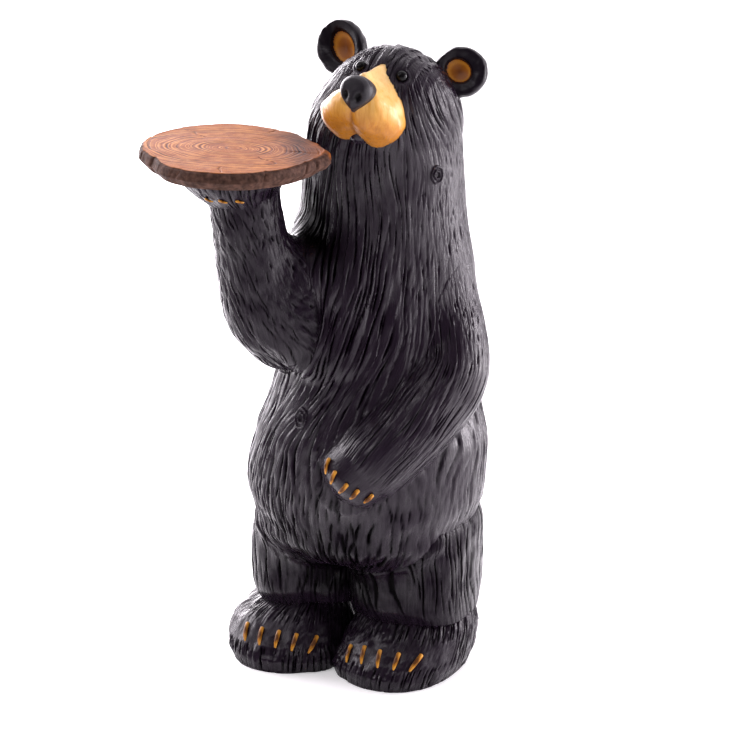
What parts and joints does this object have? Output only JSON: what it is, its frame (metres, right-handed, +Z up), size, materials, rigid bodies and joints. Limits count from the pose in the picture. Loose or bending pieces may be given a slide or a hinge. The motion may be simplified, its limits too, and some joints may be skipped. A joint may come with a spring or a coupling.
{
  "type": "bear serving statue",
  "caption": "Standing carved-style black bear that holds a round wood-slice tray level on its raised right paw, left paw on its belly.",
  "frame": {"origin": "on the floor between the feet, under the middle of the figure", "axes": "+Z up, the bear faces -Y, its left side is towards +X"},
  "size_m": [0.4236, 0.4163, 0.8632],
  "materials": {
    "bear_paint": "satin black paint over carved cast resin",
    "tray_wood": "cast resin stained as a sawn slice of wood with bark",
    "eye_gloss": "polished"
  },
  "bodies": {
    "root": {"bear": "bear_paint", "tray": "tray_wood", "eye_right": "eye_gloss", "eye_left": "eye_gloss"}
  },
  "joints": []
}
